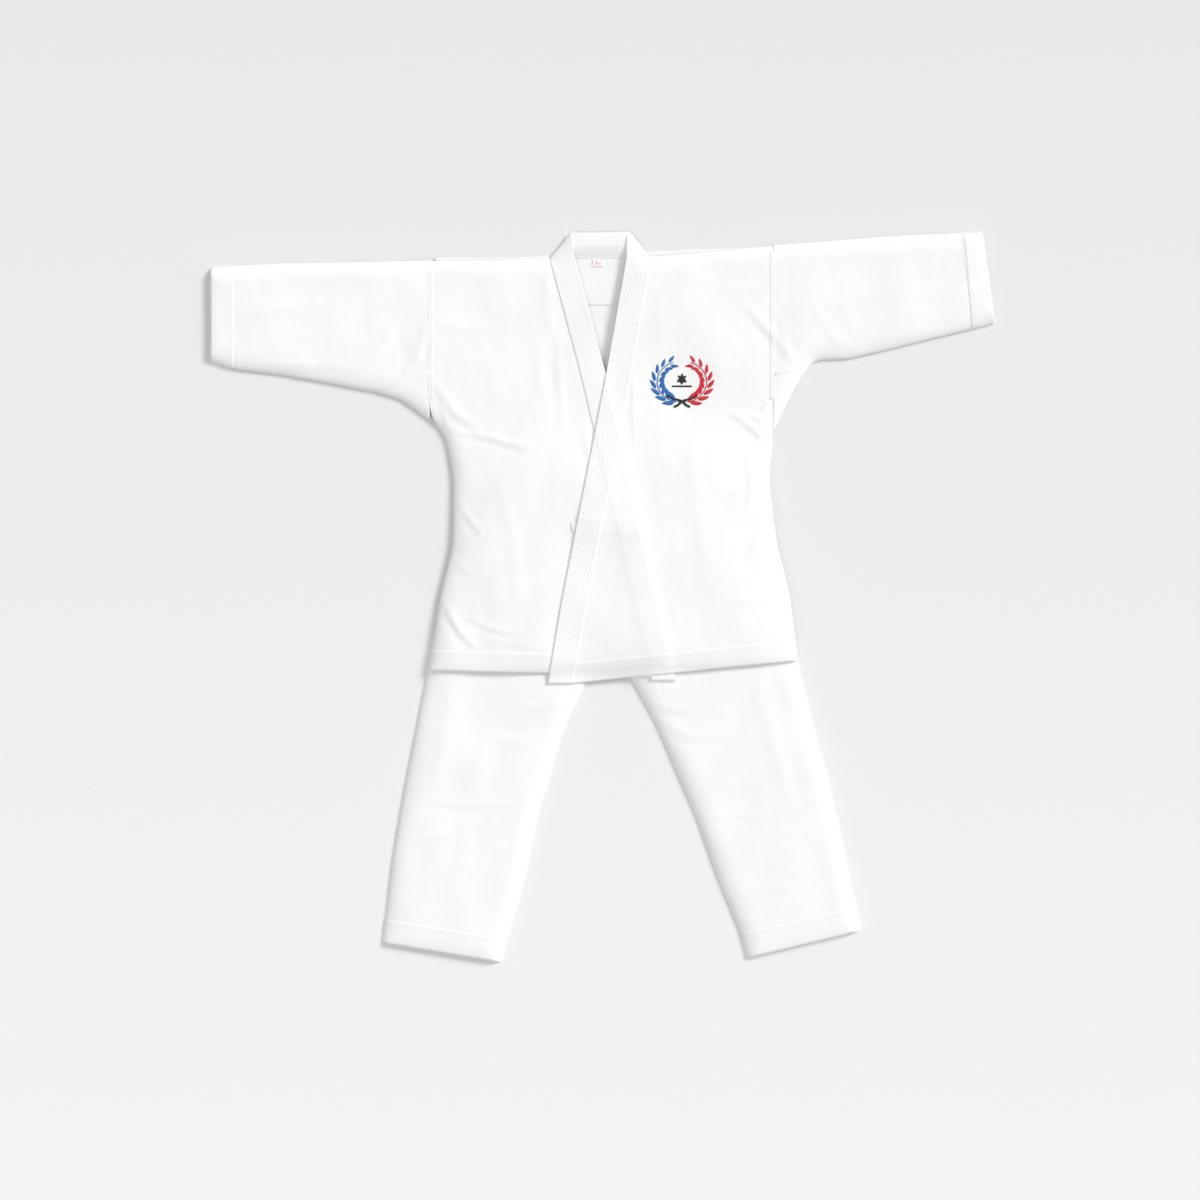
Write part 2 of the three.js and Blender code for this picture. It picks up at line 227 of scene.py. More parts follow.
def path_length(points):
    return np.linalg.norm(np.diff(np.asarray(points, float), axis=0), axis=1).sum()


def resample(points, count):
    """The same line with this many evenly spaced points."""
    steps = np.linalg.norm(np.diff(points, axis=0), axis=1)
    along = np.concatenate([[0], np.cumsum(steps)])
    at = np.linspace(0, along[-1], count)
    return np.stack([np.interp(at, along, points[:, k]) for k in range(2)], axis=1)


# ------------------------------------------------------------------ height fields
# Each layer's height above the floor, in mm, is a field on a grid seen from above. The next layer
# lies on it, so every hidden edge shows through the cloth on top of it as it does in real cloth.
STEP = 2.0
GRID_X = np.arange(-572.0, 573.0, STEP)
GRID_Y = np.arange(-532.0, 533.0, STEP)
PLACE_X, PLACE_Y = np.meshgrid(GRID_X, GRID_Y, indexing="ij")
WAVE_X = np.fft.fftfreq(len(GRID_X), STEP)[:, None]
WAVE_Y = np.fft.fftfreq(len(GRID_Y), STEP)[None, :]
random = np.random.default_rng(SEED)


def blurred(field, width):
    """The field softened by a Gaussian of this width in mm."""
    keep = np.exp(-2 * (math.pi * width) ** 2 * (WAVE_X ** 2 + WAVE_Y ** 2))
    return np.real(np.fft.ifft2(np.fft.fft2(field) * keep))


def ripples(length, stretch=1.0, turn=0.0):
    """Random undulations about `length` mm apart, drawn out `stretch` times along a direction in degrees."""
    angle = math.radians(turn)
    along = (WAVE_X * math.cos(angle) + WAVE_Y * math.sin(angle)) * stretch
    across = -WAVE_X * math.sin(angle) + WAVE_Y * math.cos(angle)
    far = np.hypot(along, across) * length
    keep = np.exp(-((far - 1) / 0.45) ** 2)
    field = np.real(np.fft.ifft2(np.fft.fft2(random.standard_normal(PLACE_X.shape)) * keep))
    return field / field.std()


def at(field, x, y):
    """The field read at points in mm."""
    i = np.clip((x - GRID_X[0]) / STEP, 0, len(GRID_X) - 1.001)
    j = np.clip((y - GRID_Y[0]) / STEP, 0, len(GRID_Y) - 1.001)
    a, b = i.astype(int), j.astype(int)
    s, t = i - a, j - b
    low = field[a, b] * (1 - s) + field[a + 1, b] * s
    high = field[a, b + 1] * (1 - s) + field[a + 1, b + 1] * s
    return low * (1 - t) + high * t


def distance(points, closed=True):
    """Distance in mm from every grid point to a line of points."""
    ends = np.roll(points, -1, axis=0) if closed else points[1:]
    best = np.full(PLACE_X.shape, 1e9)
    for (x1, y1), (x2, y2) in zip(points if closed else points[:-1], ends):
        dx, dy = x2 - x1, y2 - y1
        reach = max(dx * dx + dy * dy, 1e-9)
        t = np.clip(((PLACE_X - x1) * dx + (PLACE_Y - y1) * dy) / reach, 0, 1)
        best = np.minimum(best, (PLACE_X - x1 - t * dx) ** 2 + (PLACE_Y - y1 - t * dy) ** 2)
    return np.sqrt(best)


def inside(points):
    """Which grid points lie within a closed outline."""
    ends = np.roll(points, -1, axis=0)
    found = np.zeros(PLACE_X.shape, bool)
    for (x1, y1), (x2, y2) in zip(points, ends):
        if y1 == y2:
            continue
        crosses = (PLACE_Y >= min(y1, y2)) & (PLACE_Y < max(y1, y2))
        found ^= crosses & (PLACE_X < x1 + (PLACE_Y - y1) * (x2 - x1) / (y2 - y1))
    return found


def depth(points):
    """How far inside an outline each grid point lies, 0 outside."""
    return np.where(inside(points), distance(points), 0)


def round_edge(depths, radius):
    """0 at the outline, rising as a quarter circle to 1 at `radius` mm inside."""
    t = np.clip(depths / radius, 0, 1)
    return np.sqrt(1 - (1 - t) ** 2)


def crease(points, width, height, lean=0.0):
    """One soft fold along a line of points: a ridge with a hollow on its side where lean is not 0."""
    line = resample(np.array(points, float), 24)
    far = distance(line, closed=False)
    middle = line[len(line) // 2]
    half_length = max(np.linalg.norm(line[0] - line[-1]) / 2, 1)
    taper = np.clip(1.15 - np.hypot(PLACE_X - middle[0], PLACE_Y - middle[1]) / half_length, 0, 1)
    heading = line[-1] - line[0]
    side_of = np.sign((PLACE_X - middle[0]) * heading[1] - (PLACE_Y - middle[1]) * heading[0])
    ridge = np.exp(-(far / width) ** 2)
    hollow = np.exp(-((far - 1.8 * width) / width) ** 2) * (side_of > 0)
    return height * np.sqrt(taper) * (ridge - lean * hollow)


# ------------------------------------------------------------------ outlines
LEG = {s: [f"{s}_leg_hem", f"{s}_shin_front", f"{s}_thigh_front"] for s in ("right", "left")}
FRONT = {s: [f"{s}_front_hem", f"{s}_front_flap", f"{s}_front"] for s in ("right", "left")}
SLEEVE = {s: [f"{s}_cuff", f"{s}_sleeve_front", f"{s}_underarm_gusset"] for s in ("right", "left")}
LAPEL = {s: [f"{s}_lapel", f"{s}_lapel_upper"] for s in ("right", "left")}
SIDES = ("right", "left")
WAY = {"right": -1, "left": 1}     # the wearer's right is towards -X

CROTCH = corner(["crotch_gusset"], 0, -1)
leg_outer, leg_inner = {}, {}
for s in SIDES:
    w = WAY[s]
    outer, inner = (0, 1) if s == "right" else (1, 0)
    leg_outer[s] = side(LEG[s], (w, -0.3), (0.2 * w, 1), outer)
    leg_inner[s] = side(LEG[s], (-w, -3), (-w, 1.5), inner)

waist_low, waist_high = (np.array(p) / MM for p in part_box("waistband_casing"))
right_crotch = leg_inner["right"][leg_inner["right"][:, 1] < CROTCH[1]]
left_crotch = leg_inner["left"][leg_inner["left"][:, 1] < CROTCH[1]]


def past(points, reach):
    """The line of points, drawn out past its first point."""
    step = points[0] - points[2]
    return np.vstack([points[0] + step / np.linalg.norm(step) * reach, points])


END_REACH = 10.0     # hems and cuffs stay open: the cloth is still this far from closing at its end
trouser_outline = np.vstack([
    past(leg_outer["right"], END_REACH),
    [[waist_low[0], waist_high[1] + END_REACH], [waist_high[0], waist_high[1] + END_REACH]],
    past(leg_outer["left"], END_REACH)[::-1],
    past(left_crotch, END_REACH),
    past(right_crotch, END_REACH)[::-1],
])
for s in SIDES:
    leg_inner[s][leg_inner[s][:, 1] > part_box("crotch_gusset")[1].y / MM, 0] = 7.5 + 0.1 * WAY[s]

front_outer, front_seam, lapel_free, lapel_seam = {}, {}, {}, {}
sleeve_low, sleeve_high = {}, {}
for s in SIDES:
    w = WAY[s]
    outer, inner = (0, 1) if s == "right" else (1, 0)
    front_outer[s] = side(FRONT[s], (w, -0.5), (w, 3), outer)
    front_seam[s] = side(FRONT[s], (-w, -2), (-w, 6), inner)
    lapel_free[s] = side(LAPEL[s], (-w, -2), (-w, 3), inner)
    lapel_seam[s] = side(LAPEL[s], (w, -3), (w, 3), outer)
    sleeve_low[s] = side(SLEEVE[s], (w, -0.9), (-1.2 * w, -1), 0, axis=0)
    sleeve_high[s] = side(SLEEVE[s], (w, 1), (-w, 1), 1, axis=0)


COLLAR = ["back_collar"]
collar_side = {
    "right": side(COLLAR, (-1, -0.2), (-0.2, 1), 0, count=12, inset=0.3),
    "left": side(COLLAR, (1, -0.2), (0.2, 1), 1, count=12, inset=0.3),
}


def union_outline():
    """The laid-out jacket seen from above, with its collar."""
    parts = []
    for s in SIDES:
        body = front_outer[s]
        body = body[body[:, 1] < sleeve_low[s][-1, 1] - 4]
        cuff = past(sleeve_low[s], END_REACH), past(sleeve_high[s], END_REACH)
        parts.append(np.vstack([past(body, END_REACH), cuff[0][::-1], cuff[1], collar_side[s]]))
    return np.vstack([parts[0], parts[1][::-1]])


JACKET_OUTLINE = union_outline()

# ------------------------------------------------------------------ layers
CLOTH = 0.9                # cloth thickness, mm
BAND_CLOTH = 2.2           # lapel thickness
LAPEL_LIFT = BAND_CLOTH - 1.1    # how far the lapel stands above its panel
LAY_GAP = 0.35             # air left between two layers that lie on each other
LEG_HEIGHT = 9.5           # laid trouser leg
SLEEVE_HEIGHT = 9.5        # laid sleeve
BODY_AIR = 8.0             # air between the jacket's back and fronts
ROUND = 27.0               # how far in from a fold the cloth takes to rise


def sum_of(creases):
    return sum(crease(*c) for c in creases)


leg_depth = depth(trouser_outline)
jacket_depth = depth(JACKET_OUTLINE)

# Folds and creases in mm: points along the fold, width, height, and lean.
LEG_CREASES = [
    ([(-238, -274), (-180, -281), (-122, -276)], 5, 0.7, 0.5),
    ([(-262, -330), (-230, -322), (-205, -325)], 5, 0.5, 0.4),
    ([(-70, -180), (-110, -196), (-150, -190)], 7, 0.8, 0.5),
    ([(-205, -120), (-212, -190), (-226, -260)], 9, 0.8, 0.3),
    ([(-150, -130), (-160, -210), (-182, -300), (-196, -400)], 12, 0.7, 0.2),
    ([(78, -170), (120, -188), (170, -184)], 7, 0.8, 0.5),
    ([(135, -300), (180, -292), (222, -297)], 5, 0.6, 0.5),
    ([(210, -120), (232, -200), (258, -290)], 11, 0.8, 0.3),
    ([(170, -400), (220, -392), (262, -396)], 5, 0.4, 0.4),
    ([(-50, -135), (-84, -150), (-110, -148)], 5, 0.8, 0.4),
    ([(60, -140), (92, -152), (122, -150)], 5, 0.8, 0.4),
]
JACKET_CREASES = [
    ([(-197, 222), (-150, 214), (-97, 199)], 5, 1.3, 0.6),
    ([(-198, 130), (-182, 108), (-160, 83)], 5, 1.1, 0.5),
    ([(-219, 2), (-205, -24), (-190, -48), (-172, -66)], 5, 1.6, 0.6),
    ([(-185, -24), (-152, -42), (-117, -50)], 4, 0.8, 0.5),
    ([(-60, 353), (-57, 300), (-52, 226)], 6, 0.8, 0.3),
    ([(-25, 235), (-21, 205), (-18, 176)], 5, 0.7, 0.3),
    ([(-226, 290), (-200, 250), (-165, 225)], 7, 1.3, 0.6),
    ([(-140, 160), (-120, 80), (-112, -10)], 9, 0.8, 0.2),
    ([(-232, 372), (-180, 360), (-130, 362)], 8, 0.6, 0.2),
    ([(41, 307), (42, 240), (41, 172)], 5, 0.8, 0.3),
    ([(195, 391), (222, 360), (250, 328)], 6, 1.2, 0.5),
    ([(169, 252), (200, 228), (229, 205)], 5, 1.3, 0.6),
    ([(196, 190), (199, 150), (196, 110)], 4, 0.7, 0.4),
    ([(213, 182), (214, 150), (211, 118)], 4, 0.6, 0.4),
    ([(225, 150), (190, 140), (150, 146)], 6, 0.8, 0.4),
    ([(248, 10), (214, -4), (176, -8)], 6, 1.2, 0.5),
    ([(120, 200), (128, 120), (140, 20)], 10, 0.7, 0.2),
    ([(-216, 258), (-209, 230), (-196, 208)], 4, 1.0, 0.5),
    ([(-224, 222), (-214, 196), (-206, 160)], 4, 0.8, 0.4),
    ([(-196, 196), (-188, 172), (-190, 150)], 5, 0.6, 0.4),
    ([(-157, -56), (-120, -62), (-85, -68)], 5, 0.6, 0.3),
    ([(-216, 60), (-196, 44), (-176, 34)], 5, 0.7, 0.4),
    ([(-76, 446), (-73, 400), (-70, 362)], 7, 0.7, 0.3),
    ([(-88, 338), (-84, 300), (-80, 268)], 7, 0.6, 0.3),
    ([(74, 418), (77, 370), (76, 315)], 7, 0.6, 0.3),
    ([(100, 440), (150, 424), (196, 414)], 8, 0.5, 0.3),
    ([(231, 230), (200, 244), (164, 242)], 4, 0.9, 0.5),
    ([(231, 206), (216, 180), (200, 150)], 4, 0.9, 0.5),
    ([(222, 262), (212, 236), (192, 222)], 4, 0.8, 0.5),
    ([(211, 92), (206, 70), (198, 46)], 5, 0.6, 0.4),
    ([(150, 210), (146, 180), (150, 140)], 8, 0.5, 0.3),
    ([(90, 20), (98, -30), (96, -76)], 8, 0.5, 0.2),
    ([(228, -30), (206, -52), (176, -60)], 5, 0.7, 0.4),
    ([(-481, 312), (-420, 309), (-354, 311)], 7, 1.2, 0.5),
    ([(-330, 300), (-300, 330), (-280, 362)], 7, 1.0, 0.4),
    ([(-275, 285), (-250, 320), (-238, 360)], 6, 1.1, 0.4),
    ([(-520, 380), (-440, 388), (-360, 392)], 10, 0.7, 0.2),
    ([(-420, 430), (-350, 436), (-280, 434)], 8, 0.5, 0.3),
    ([(340, 330), (310, 350), (286, 384)], 7, 0.6, 0.3),
    ([(268, 300), (248, 330), (240, 368)], 6, 0.7, 0.4),
    ([(500, 410), (430, 408), (350, 402)], 10, 0.7, 0.2),
    ([(460, 362), (420, 352), (372, 344)], 7, 0.9, 0.5),
    ([(440, 470), (370, 462), (300, 462)], 8, 0.5, 0.3),
]

TROUSER_WRINKLES = (
    0.5 * ripples(130) + 0.22 * ripples(62, 2.0, 78)
    + 0.05 * ripples(26, 1.5, 20) + 0.02 * ripples(12)
)
leg_calm = np.clip(leg_depth / 30, 0, 1)
trouser_top = LEG_HEIGHT * round_edge(leg_depth, ROUND)
trouser_top += leg_calm * (TROUSER_WRINKLES + sum_of(LEG_CREASES))

# The waistband is gathered on its elastic, so it stands a little above the legs.
GATHER = 9.0
WAIST_LIFT = 1.4
gathers = np.sin(2 * math.pi * PLACE_X / GATHER + 2.2 * ripples(70)) * 0.3
waist_depth = np.maximum(np.minimum(PLACE_X - waist_low[0], waist_high[0] - PLACE_X), 0)
waist_top = LEG_HEIGHT * round_edge(waist_depth, 30.0) + gathers
at_waist = (waist_depth > 0) & (PLACE_Y > waist_low[1] - 6) & (PLACE_Y < waist_high[1] + 4)
trouser_stack = np.where(at_waist, np.maximum(trouser_top, waist_top + WAIST_LIFT), trouser_top)

# The jacket's back drapes over the trousers and down to the floor beside them.
drape = np.maximum(blurred(trouser_stack, 9) + 0.2, trouser_stack)
back_top = np.maximum(blurred(drape, 3), trouser_stack) + LAY_GAP + CLOTH

jacket_calm = np.clip(jacket_depth / 25, 0, 1)
JACKET_WRINKLES = (
    0.5 * ripples(140) + 0.24 * ripples(66, 2.0, 84)
    + 0.06 * ripples(28, 1.5, 100) + 0.02 * ripples(12)
)
air = np.where(PLACE_Y > 225, SLEEVE_HEIGHT - 1.0, BODY_AIR)
air = blurred(air, 45)
front_top = blurred(back_top, 34) + CLOTH + air * round_edge(jacket_depth, ROUND)
front_top += jacket_calm * (JACKET_WRINKLES + sum_of(JACKET_CREASES))
front_top = np.maximum(front_top, back_top + CLOTH + LAY_GAP)

lapel_outline = {s: np.vstack([lapel_free[s], lapel_seam[s][::-1]]) for s in SIDES}
front_outline = {s: np.vstack([front_outer[s], front_seam[s][::-1]]) for s in SIDES}
under_band = inside(lapel_outline["right"])
under_front = inside(front_outline["right"]) | under_band
over = inside(front_outline["left"]) | inside(lapel_outline["left"])

# The right front lies beneath, and its lapel is thicker than its panel. The tie lies on top of it.
TIE_WIDTH = 12.0
TIE_CLOTH = 0.8
TIE_ROUTE = np.array([(-42, 93), (-30, 94), (60, 92), (140, 84)], float)
tie_path = resample(TIE_ROUTE, 24)
right_top = front_top.copy()
right_stack = right_top + np.where(under_band, LAPEL_LIFT, 0)
covered = over & under_front
tie_reach = np.clip((TIE_WIDTH / 2 + 18 - distance(tie_path, closed=False)) / 17, 0, 1)
tie_room = (TIE_CLOTH + LAY_GAP) * tie_reach ** 2 * (3 - 2 * tie_reach)
tie_bed = np.where(under_front, right_stack, front_top - CLOTH - LAY_GAP - TIE_CLOTH)
tie_bed = blurred(tie_bed, 3)
left_floor = np.where(under_front, right_stack + LAY_GAP + CLOTH + tie_room, front_top)
left_top = np.maximum(blurred(left_floor, 9), left_floor)
left_top = np.where(covered, np.maximum(blurred(left_top, 5), left_floor), left_top)
fade = np.clip((PLACE_X - 155) / 50, 0, 1)
left_top = left_top * (1 - fade) + front_top * fade


# ------------------------------------------------------------------ cloth pieces
def make_piece(name, points, faces, material):
    """A mesh from points in mm, with its place as laid as its UV map."""
    mesh = bpy.data.meshes.new(name)
    mesh.from_pydata((np.asarray(points) * MM).tolist(), [], faces)
    layer = mesh.uv_layers.new(name="cloth")
    place = np.asarray(points)[:, :2] * MM
    corners = np.empty(len(mesh.loops), int)
    mesh.loops.foreach_get("vertex_index", corners)
    layer.data.foreach_set("uv", place[corners].ravel())
    mesh.materials.append(material)
    mesh.shade_smooth()
    work = bmesh.new()
    work.from_mesh(mesh)
    bmesh.ops.recalc_face_normals(work, faces=work.faces)
    work.to_mesh(mesh)
    work.free()
    piece = bpy.data.objects.new(name, mesh)
    scene.collection.objects.link(piece)
    return piece


def cloth(name, first, second, top, material, thickness=CLOTH, across=60, along=140, edge=1.0):
    """A panel between two edges, its top on a height field or an array, with rounded raw edges.

    The columns are closer together near both edges, where the cloth turns down."""
    first, second = resample(first, along), resample(second, along)
    u = np.linspace(0, 1, across)
    u = (1 - edge) * u + edge * (0.5 - 0.5 * np.cos(math.pi * u))
    x = first[None, :, 0] * (1 - u[:, None]) + second[None, :, 0] * u[:, None]
    y = first[None, :, 1] * (1 - u[:, None]) + second[None, :, 1] * u[:, None]
    z = top(x, y) if callable(top) else at(top, x, y)
    return slab(name, np.stack([x, y, z], axis=-1), material, thickness)


def slab(name, grid, material, thickness):
    """A closed sheet of this thickness under a grid of points."""
    du = np.gradient(grid, axis=0)
    dv = np.gradient(grid, axis=1)
    normal = np.cross(du, dv)
    normal /= np.maximum(np.linalg.norm(normal, axis=-1, keepdims=True), 1e-9)
    if normal[..., 2].mean() < 0:
        normal = -normal
    nu, nv = grid.shape[:2]
    lower = grid - normal * thickness
    lower[..., 2] = np.maximum(lower[..., 2], 0.05)
    ids = np.arange(nu * nv).reshape(nu, nv)
    rim = np.concatenate([ids[:, 0], ids[-1, 1:], ids[-2::-1, -1], ids[0, -2:0:-1]])
    flat = grid.reshape(-1, 3)
    low = lower.reshape(-1, 3)
    middle = (flat[rim] + low[rim]) / 2
    forward = np.roll(flat[rim], -1, axis=0) - np.roll(flat[rim], 1, axis=0)
    out = np.cross(forward, normal.reshape(-1, 3)[rim])
    out /= np.maximum(np.linalg.norm(out, axis=1, keepdims=True), 1e-9)
    centre = flat.mean(0)
    if ((middle - centre) * out).sum() < 0:
        out = -out
    middle = middle + out * thickness * 0.35
    middle[:, 2] = np.maximum(middle[:, 2], 0.05)
    quads = np.stack([ids[:-1, :-1], ids[1:, :-1], ids[1:, 1:], ids[:-1, 1:]], axis=-1).reshape(-1, 4)
    count = nu * nv
    faces = quads.tolist() + (quads[:, ::-1] + count).tolist()
    ring = np.arange(len(rim)) + 2 * count
    after = np.roll(np.arange(len(rim)), -1)
    faces += np.stack([rim[after], rim, ring, ring[after]], axis=-1).tolist()
    faces += np.stack([ring[after], ring, rim + count, rim[after] + count], axis=-1).tolist()
    points = np.vstack([flat, low, middle])
    return make_piece(name, points, faces, material)


JOINTS = {j["name"]: j for j in frame["joints"]}
BODIES = frame["record"]["behaviour"]["bodies"]


def fold(piece, joint, before=20.0, after=20.0):
    """Works out the joint's pivot, axis and the way to its child, then only bakes the piece's placement into its
    mesh; the piece is not bent. `before` and `after` are not used.
    """
    j = JOINTS[joint]
    pivot, axis = Vector(j["pos_m"]), Vector(j["axis"])
    boxes = [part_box(n) for n in BODIES[j["child"]]]
    middle = sum((low + high for low, high in boxes), Vector()) / (2 * len(boxes))
    towards = middle - pivot
    towards -= axis * towards.dot(axis)
    towards.z = 0
    towards.normalize()
    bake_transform(piece)
    return piece


def finish(piece, replaces=(), joint=None, body=None, reach=(20.0, 20.0)):
    """Hides the CAD parts the piece replaces, then bakes its placement through fold() if it has a joint, or hangs
    it on its body's empty.
    """
    if replaces:
        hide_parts(*replaces)
    if joint:
        fold(piece, joint, *reach)
    else:
        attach(piece, body)
    return piece


def strip(name, first, second, start, end, top, material, lift, thickness, across=50, along=14):
    """A band of a panel, between fractions start and end of its length, lying `lift` mm proud of it."""
    count = 400
    a, b = resample(first, count), resample(second, count)
    low, high = round(start * (count - 1)), round(end * (count - 1))
    return cloth(name, a[low:high + 1], b[low:high + 1], top + lift, material, thickness, across, along)


def share_of(points, length):
    """`length` mm as a share of a line of points."""
    return length / path_length(points)


floor_field = np.full(PLACE_X.shape, CLOTH + 0.15)


def ribbon(name, path, width, top, material, lift=0.5, thickness=0.9, along=None):
    """A narrow band of cloth that follows a line of points: a felled seam or a binding."""
    line = resample(np.asarray(path, float), along or max(8, int(path_length(path) / 4)))
    across = np.gradient(line, axis=0)[:, ::-1] * np.array([1, -1])
    across /= np.linalg.norm(across, axis=1, keepdims=True)
    low, high = line - across * width / 2, line + across * width / 2
    return cloth(name, low, high, top + lift, material, thickness, across=7, along=len(line))


STITCH = 2.5          # length of one stitch, mm
STITCH_PITCH = 3.3
STITCH_RADIUS = 0.3


def stitches(name, rows):
    """Rows of sewing: (line of points, height field, lift). Each stitch is a short raised lens of thread."""
    points, faces = [], []
    made = 0
    for path, top, lift in rows:
        path = np.asarray(path, float)
        count = max(int(path_length(path) / STITCH_PITCH), 2)
        line = resample(path, count + 1)
        middle = (line[:-1] + line[1:]) / 2
        way = (line[1:] - line[:-1]) / np.linalg.norm(line[1:] - line[:-1], axis=1, keepdims=True)
        beside = way[:, ::-1] * np.array([1, -1])
        shape = [
            middle - way * STITCH / 2, middle + way * STITCH / 2,
            middle - beside * STITCH_RADIUS, middle + beside * STITCH_RADIUS, middle, middle,
        ]
        rise = [-0.12, -0.12, 0, 0, STITCH_RADIUS, -STITCH_RADIUS]
        stack = np.stack([
            np.column_stack([p, at(top, p[:, 0], p[:, 1]) + lift + dz]) for p, dz in zip(shape, rise)
        ], axis=1)
        base = 6 * (made + np.arange(len(middle)))[:, None, None]
        lens = np.array([
            (0, 2, 4), (2, 1, 4), (1, 3, 4), (3, 0, 4),
            (2, 0, 5), (1, 2, 5), (3, 1, 5), (0, 3, 5),
        ])
        faces.append((base + lens).reshape(-1, 3))
        points.append(stack)
        made += len(middle)
    return make_piece(name, np.concatenate(points).reshape(-1, 3), np.concatenate(faces).tolist(), SEWING)


def between(first, second, share, start=0.0, end=1.0, count=200):
    """The line at this share of the way from one edge of a panel to the other."""
    a, b = resample(first, count), resample(second, count)
    low, high = round(start * (count - 1)), round(end * (count - 1))
    return (a * (1 - share) + b * share)[low:high + 1]


def across_panel(first, second, length):
    """The line across a panel, `length` mm from its start along each edge."""
    a, b = resample(first, 400), resample(second, 400)
    i = round(share_of(first, length) * 399)
    j = round(share_of(second, length) * 399)
    return np.array([a[i] * (1 - t) + b[j] * t for t in np.linspace(0.004, 0.996, 60)])


def threads(name, starts, ends, heights, radius, material, bow=0.25):
    """Embroidery: each thread a spindle from start to end, bowed up in the middle over its padding."""
    starts, ends = np.asarray(starts, float), np.asarray(ends, float)
    heights = np.asarray(heights, float)
    way = ends - starts
    length = np.linalg.norm(way, axis=1, keepdims=True)
    beside = (way / length)[:, ::-1] * np.array([1, -1]) * radius
    stack = [np.column_stack([starts, heights - radius])]
    for t in (0.12, 0.5, 0.88):
        lift = heights + bow * math.sin(math.pi * t)
        place = starts + way * t
        ring = [(place + beside, lift), (place, lift + radius), (place - beside, lift), (place, lift - radius)]
        stack += [np.column_stack(p) for p in ring]
    stack.append(np.column_stack([ends, heights - radius]))
    faces = [(0, 1 + k, 1 + (k + 1) % 4) for k in range(4)] + [(13, 9 + (k + 1) % 4, 9 + k) for k in range(4)]
    for row in (1, 5):
        for k in range(4):
            here, there = row + k, row + (k + 1) % 4
            faces += [(here, here + 4, there), (there, here + 4, there + 4)]
    points = np.stack(stack, axis=1).reshape(-1, 3)
    base = 14 * np.arange(len(starts))[:, None, None]
    return make_piece(name, points, (base + np.array(faces)).reshape(-1, 3).tolist(), material)


# ------------------------------------------------------------------ tie
tie_top = tie_bed + LAY_GAP * 0.5 + TIE_CLOTH
tie = ribbon("front_tie", tie_path, TIE_WIDTH, tie_top, TAPE, 0.0, TIE_CLOTH, along=90)
tie_line = resample(tie_path, 60)
tie_heights = at(tie_top, tie_line[:, 0], tie_line[:, 1]) - TIE_CLOTH / 2
tie_line = np.column_stack([tie_line, tie_heights]) * MM
finish(tie, ["left_front_tie"], body="left_front_turnback")

# ------------------------------------------------------------------ trousers
HEM = 31.0
HEM_LIFT = 0.35
INSEAM_LINES = {
    "right": [[(-58, -112), (-76, -165), (-98, -222)], [(-40, -118), (-47, -148), (-60, -188)]],
    "left": [[(72, -104), (84, -130), (99, -163)]],
}
for s in SIDES:
    outer, inner = leg_outer[s], leg_inner[s]
    bend = f"{s}_leg_fold"
    front = cloth(f"{s}_leg_front", outer, inner, trouser_top, COTTON, across=70, along=190)
    finish(front, [f"{s}_thigh_front", f"{s}_shin_front"], bend)
    back = cloth(f"{s}_leg_back", outer, inner, floor_field, COTTON, across=50, along=150)
    finish(back, [f"{s}_thigh_back", f"{s}_shin_back"], bend)
    hem = share_of(outer, HEM)
    turned = strip(f"{s}_leg_hem_front", outer, inner, 0, hem, trouser_top, COTTON, HEM_LIFT, 1.8)
    finish(turned, [f"{s}_leg_hem"], body=f"{s}_lower_leg")
    under = strip(f"{s}_leg_hem_back", outer, inner, 0, hem, floor_field, COTTON, 1.1, 1.2)
    finish(under, body=f"{s}_lower_leg")
    rows = [(across_panel(outer, inner, d), trouser_top, HEM_LIFT + 0.1) for d in (HEM - 2.5, HEM - 5.5, 2.5)]
    rows += [(line, trouser_top, 0.2) for line in INSEAM_LINES[s]]
    sewn = stitches(f"{s}_leg_stitching", rows)
    finish(sewn, joint=bend)

gusset_sides = [side(["crotch_gusset"], (w, -6), (w, 6), k, inset=0.3) for w, k in ((-1, 0), (1, 1))]
gusset = cloth("crotch_gusset_cloth", *gusset_sides, trouser_top, COTTON, across=16, along=40)
finish(gusset, ["crotch_gusset"], body="trousers")
gusset_peak = max((edge[np.argmax(edge[:, 1])] for edge in gusset_sides), key=lambda p: p[1])
rise_middle = (leg_inner["right"][-1, 0] + leg_inner["left"][-1, 0]) / 2
rise_line = np.array([gusset_peak, (rise_middle, waist_low[1] - 1.0)])
seam_lines = [
    ("gusset_seam_right", gusset_sides[0]),
    ("gusset_seam_left", gusset_sides[1]),
    ("rise_seam", rise_line),
]
for name, line in seam_lines:
    seam = ribbon(name, line, 6.0, trouser_top, COTTON, 0.3)
    finish(seam, body="trousers")
rows = [(line[2:-2] if len(line) > 4 else line, trouser_top, 0.4) for _, line in seam_lines]
finish(stitches("gusset_stitching", rows), body="trousers")

# The waistband's layers: casing outside, elastic inside, facing within.
WAIST_LAYERS = [
    ("waistband_casing", WAIST_LIFT, 0.8, COTTON, "gi_cotton"),
    ("waist_elastic", 0.5, 0.7, TAPE, "elastic_tape"),
    ("waistband_facing", -0.35, 0.7, COTTON, "gi_cotton"),
]
ends = [np.array([(x, waist_low[1] - 1), (x, waist_high[1])]) for x in (waist_low[0], waist_high[0])]
for name, lift, thickness, material, slot in WAIST_LAYERS:
    inset = np.array([(1.4 - lift) * 1.2, 0])
    low, high = ends[0] + inset, ends[1] - inset
    upper = cloth(f"{name}_front", low, high, waist_top + lift, material, thickness,
                  across=230, along=12, edge=0.3)
    finish(upper, [name], body="trousers")
    lower = cloth(f"{name}_back", low, high, floor_field + 1.6 - lift, material, thickness, across=60, along=8)
    finish(lower, body="trousers")
